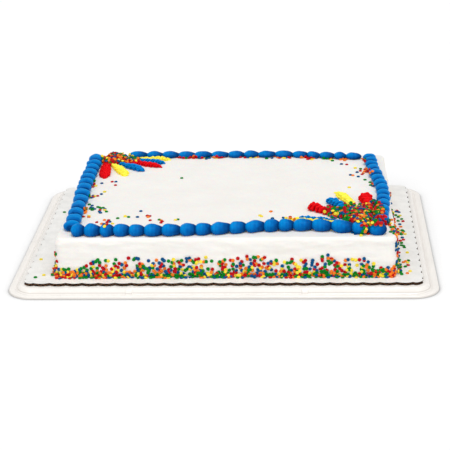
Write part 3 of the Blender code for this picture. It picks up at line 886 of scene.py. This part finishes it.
def disc_template():
    """A flat disc with rounded rims."""
    turns = [2 * math.pi * side / DISC_SIDES for side in range(DISC_SIDES)]
    verts, faces = loft([
        [(radius * math.cos(turn), radius * math.sin(turn), height) for turn in turns]
        for radius, height in DISC_RIM
    ])
    return verts * (DISC_RADIUS, DISC_RADIUS, DISC_THICK), faces


def make_sprinkles(laid, seed):
    """One mesh for each colour."""
    verts, faces = disc_template()
    draw = random.Random(seed)
    for colour, places in laid.items():
        parts = []
        for centre, axis in places:
            turn = axis.to_track_quat("Z", "Y").to_matrix() @ Matrix.Rotation(draw.uniform(0, 6), 3, "Z")
            size = draw.uniform(0.98, 1.10)
            parts.append((verts @ (np.array(turn).T * size) + np.array(centre), faces))
        material = sugar(colour, COLOURS[colour])
        piece(f"sprinkles_{colour}", joined(parts), material, "mixed_sprinkles", sharp=40)


FRONT_PEAKS = ((-25, 16, 3), (40, 18, 5), (118, 8, 5), (131, 8, 4), (-105, 14, 2))  # place, width, height


def front_height(x):
    """How high the sprinkles cling along the cake's front."""
    rise = 9 + 11 * min(1, max(0, (x + 168) / 16))
    for peak in FRONT_PEAKS:
        rise += bump_of(x, *peak)
    return rise - 11 * min(1, max(0, (x - 172) / 14))


# Bands of sprinkles round the cake's foot: the axis that each runs along, its side, its ends, how many are
# thrown at the cake's side and let fall at its foot, and how high they cling and their mix at a place
Band = namedtuple("Band", "axis side low high face foot height mix", defaults=[lambda along: "even"])
BANDS = (
    Band(0, -1, -200, 204, 1000, 620, front_height, lambda x: "warm" if x < -176 else "even"),
    Band(1, -1, -150, -60, 150, 90, lambda y: 26 if y < -100 else 14),
    Band(1, -1, -60, 160, 70, 50, lambda y: 11),
    Band(1, 1, -152, 60, 260, 170, lambda y: 40 if y < -110 else 20),
    Band(1, 1, 60, 160, 50, 30, lambda y: 12),
    Band(0, 1, -195, 200, 190, 90, lambda x: 13),
)


def lay_band(sprinkles, band):
    """Sprinkles on one side of the cake and at its foot, thickest at the bottom."""
    draw = sprinkles.draw
    cross = 1 - band.axis
    outside = CAKE_CENTRE[cross] + band.side * (CAKE_HALF[cross] + 20)
    aim = [0, 0, 0]
    aim[cross] = -band.side
    for _ in range(band.face):
        along = draw.uniform(band.low, band.high)
        rise = band.height(along) * draw.random() ** 1.9
        start = [0, 0, BOARD_TOP + 2.2 + rise]
        start[band.axis], start[cross] = along, outside
        pile = max(0, 6 - rise) * 0.35
        sprinkles.lay(start, aim, band.mix(along), tilt=0.22, lift=draw.uniform(0, pile), least=2.0)
    face = CAKE_CENTRE[cross] + band.side * CAKE_HALF[cross]
    for _ in range(band.foot):
        along = draw.uniform(band.low, band.high)
        away = 1.2 + 5 * draw.random() ** 1.9
        spot = [0, 0]
        spot[band.axis], spot[cross] = along, face + band.side * away
        lift = draw.uniform(0, max(0, 5.5 - away) * 0.8)
        sprinkles.drop(*spot, band.mix(along), tilt=0.30, lift=lift, least=2.0, highest=BOARD_TOP + 4)


# Scattered on the top: middle, spreads, count and mix; down the left and along the front, then along
# the back and down the right
CLUSTERS = (
    (-180, 45, 2.5, 12, 9, "warm"), (-174, 0, 4, 9, 8, "even"), (-176, -58, 2.5, 13, 14, "warm"),
    (-167, -76, 3, 5, 5, "ember"), (-160, -46, 8, 9, 24, "cool"), (-146, -98, 7, 8, 17, "warm"),
    (-121, -77, 3, 3, 5, "spring"), (-94, -79, 2.5, 3, 3, "red"), (-76, -94, 4, 4, 4, "red"),
    (-60, -90, 1.5, 2, 2, "spring"),
    (-63, 156, 9, 4, 26, "warm"), (-42, 156, 8, 4, 20, "even"), (-17, 157, 7, 4, 16, "ember"),
    (22, 156, 9, 4, 12, "even"), (68, 153, 9, 4, 12, "even"), (101, 151, 8, 5, 26, "warm"),
    (130, 148, 8, 4.5, 22, "even"), (149, 145, 6, 4, 14, "warm"), (177, 140, 3, 9, 8, "warm"),
    (179, 94, 4, 8, 34, "ember"), (185, 38, 2, 9, 5, "warm"), (82, -86, 16, 4, 7, "even"),
    (150, 75, 18, 18, 3, "cool"),
)
LONE = {  # single ones, each at its own place
    "green": ((-65, 69), (135, 138), (-201.7, -60), (-132, -83), (-80, -89), (172, 102), (-149, -59)),
    "blue": (
        (-151, 56), (-169, 50), (147, 123), (168, 70), (158, 77), (-106, -58), (-108, -79), (-156, -63),
        (-164, 7),
    ),
    "red": ((-156, 56), (-150, 42), (154, 121), (-94, -77), (-91, -91), (-168, 0)),
    "orange": ((56, -62), (161, 75)),
    "yellow": ((155, 27), (165, 106), (-161, 16), (45, -79), (43, -76)),
}
ON_BOARD = {"yellow": ((-228, -98), (-216, -149)), "green": ((-225, -156),)}
CLUSTER_SPREAD = 0.7  # the drawn spread's share of a cluster's

# Strays near the front right corner: the ends of each patch in x and y, or in y and height on the
# right side, and how many
BY_RIGHT_ROW = (176, 190), (-114, -60), 150
UNDER_FRONT_ROW = (152, 176), (-147, -136), 11
ON_RIGHT_SIDE = (-148, -95), (22, 60), 50
BOARD_STRAYS = 209, 17, (-150, 70), 75  # on the board: nearest x, how far they reach, ends in y, how many
RIM_CLUSTER = (  # low and high y, middle x, its spread and count
    (-106, -90, 200.5, 1.4, 14), (-120, -107, 200.5, 1.2, 7), (-150, -122, 207, 3.5, 30),
)


def lay_on_top(sprinkles):
    """Sprinkles that fell on the cake's top and on the beads beside them, and single ones on the board."""
    draw = sprinkles.draw
    for x, y, spread_x, spread_y, count, mix in CLUSTERS:
        for _ in range(count):
            place = draw.gauss(x, spread_x * CLUSTER_SPREAD), draw.gauss(y, spread_y * CLUSTER_SPREAD)
            sprinkles.throw(*place, mix, tilt=0.12, least=2.6)
    for colour, places in LONE.items():
        for x, y in places:
            sprinkles.lay_one(colour, *thrown(x, y))
    for colour, places in ON_BOARD.items():
        for x, y in places:
            sprinkles.lay_one(colour, Vector((x, y, DROP_FROM)), Vector((0, 0, -1)))


def within(x, y, outline):
    """Whether a place lies inside a closed outline."""
    inside = False
    for (x1, y1), (x2, y2) in zip(outline, outline[1:] + outline[:1]):
        if (y1 > y) != (y2 > y) and x < x1 + (y - y1) / (y2 - y1) * (x2 - x1):
            inside = not inside
    return inside


def lay_on_heap(sprinkles, name):
    """Loose sprinkles over a heap, its strokes' roots and the beads beside it.

    Three in four are thrown from the front, anywhere in the outline, and one falls on the core.
    """
    heap, outline, draw = HEAPS[name], SPREAD[name], sprinkles.draw
    low_x, low_y = (min(place[axis] for place in outline) for axis in (0, 1))
    high_x, high_y = (max(place[axis] for place in outline) for axis in (0, 1))
    left = heap.count
    while left:
        if left % 4:
            x, y = draw.uniform(low_x, high_x), draw.uniform(low_y, high_y)
            if not within(x, y, outline):
                continue
            sprinkles.throw(x, y, heap.mix, tilt=0.18, lift=draw.uniform(0, 1.6), least=2.5)
        else:
            angle, away = draw.uniform(0, 2 * math.pi), 0.86 * math.sqrt(draw.random())
            x = heap.centre[0] + heap.half[0] * away * math.cos(angle)
            y = heap.centre[1] + heap.half[1] * away * math.sin(angle)
            sprinkles.drop(x, y, heap.mix, tilt=0.18, lift=draw.uniform(0, 1.6), least=2.5)
        left -= 1


def lay_strays(sprinkles):
    """Sprinkles between the front heap and the right row, on the board's right, and down that corner."""
    draw = sprinkles.draw
    ends_x, ends_y, count = BY_RIGHT_ROW
    for _ in range(count):
        x, y = draw.uniform(*ends_x), draw.uniform(*ends_y)
        sprinkles.throw(x, y, "heaped", tilt=0.25, lift=draw.uniform(0, 3.5), least=2.3)
    nearest, reach, ends_y, count = BOARD_STRAYS
    for _ in range(count):
        x, y = nearest + reach * draw.random() ** 1.3, draw.uniform(*ends_y)
        sprinkles.drop(x, y, "even", tilt=0.1, least=3.5, highest=BOARD_TOP + 3)
    ends_x, ends_y, count = UNDER_FRONT_ROW
    for _ in range(count):
        sprinkles.throw(draw.uniform(*ends_x), draw.uniform(*ends_y), "even", tilt=0.2)
    for low, high, x, spread, count in RIM_CLUSTER:
        for _ in range(count):
            sprinkles.throw(x + draw.gauss(0, spread), draw.uniform(low, high), "even", tilt=0.2, least=2.6)
    ends_y, ends_height, count = ON_RIGHT_SIDE
    for _ in range(count):
        height, y = draw.uniform(*ends_height), draw.uniform(*ends_y)
        sprinkles.lay((BEYOND_CAKE, y, height), (-1, 0, 0), "even", tilt=0.25, least=2.8)


# Stage

def make_floor():
    """A plain pale floor, with a soft shade where something stands close over it."""
    made, tree, shader = new_material("white floor", Roughness=0.8, Specular_IOR_Level=0.1)
    pale = ramp_of(tree, noise_of(tree, 300, 2), (0.3, (0.922, 0.922, 0.924)), (0.7, (0.93, 0.93, 0.932)))
    open_share = tree.nodes.new("ShaderNodeAmbientOcclusion")
    open_share.inputs["Distance"].default_value = SHADE_REACH * MM
    closed = range_of(tree, open_share.outputs["AO"], *SHADE_RANGE, SHADE_MOST, 0)
    tree.links.new(blend_of(tree, closed, pale, SHADE_GREY), shader.inputs["Base Color"])
    data = bpy.data.meshes.new("floor")
    corners = ((-1, -1), (1, -1), (1, 1), (-1, 1))
    verts = [(FLOOR_REACH * x, FLOOR_REACH * y, FLOOR_LEVEL) for x, y in corners]
    data.from_pydata(verts, [], [(0, 1, 2, 3)])
    data.materials.append(made)
    floor = bpy.data.objects.new("floor", data)
    bpy.context.scene.collection.objects.link(floor)


def light_scene():
    """The white room and its wide lamps."""
    world = bpy.data.worlds.new("white room")
    world.use_nodes = True
    background = world.node_tree.nodes["Background"]
    background.inputs["Color"].default_value = (1.0, 1.0, 1.0, 1)
    background.inputs["Strength"].default_value = WORLD_STRENGTH
    bpy.context.scene.world = world
    for name, energy, width, tilt, turn in LIGHTS:
        lamp = bpy.data.lights.new(name, "SUN")
        lamp.energy = energy
        lamp.angle = math.radians(width)
        made = bpy.data.objects.new(name, lamp)
        made.rotation_euler = (math.radians(tilt), 0, math.radians(turn))
        bpy.context.scene.collection.objects.link(made)


def make_camera():
    """The camera at the photograph's place and angle."""
    data = bpy.data.cameras.new("camera")
    data.lens, data.sensor_width = CAMERA_LENS, SENSOR
    made = bpy.data.objects.new("camera", data)
    turn = (
        Matrix.Rotation(math.radians(CAMERA_PAN), 4, "Z")
        @ Matrix.Rotation(math.radians(CAMERA_TILT), 4, "X")
        @ Matrix.Rotation(math.radians(CAMERA_ROLL), 4, "Z")
    )
    made.matrix_world = Matrix.Translation(Vector(CAMERA_PLACE) * MM) @ turn
    bpy.context.scene.collection.objects.link(made)
    bpy.context.scene.camera = made


def main():
    """The dressed cake on its board and tray, its stage and its camera."""
    icings = {name: coloured_icing(name) for name in ICINGS}
    make_tray()
    board = make_board()
    cake = make_cake()
    rows = [make_row(name, icings["blue"]) for name in ROWS]
    strokes = [make_stroke(name, icings) for name in STROKES]
    core = heap_core()
    heaps = [make_heap(name, HEAP_SEED + number, core) for number, name in enumerate(HEAPS)]
    sprinkles = Sprinkles([board, cake, *rows, *strokes, *heaps], SPRINKLE_SEED)
    for band in BANDS:
        lay_band(sprinkles, band)
    lay_on_top(sprinkles)
    for name in HEAPS:
        lay_on_heap(sprinkles, name)
    lay_strays(sprinkles)
    make_sprinkles(sprinkles.laid, TURN_SEED)
    make_floor()
    light_scene()
    make_camera()
    bpy.context.scene.view_settings.view_transform = "Standard"
    bpy.context.scene.cycles.use_denoising = True


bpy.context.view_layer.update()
main()
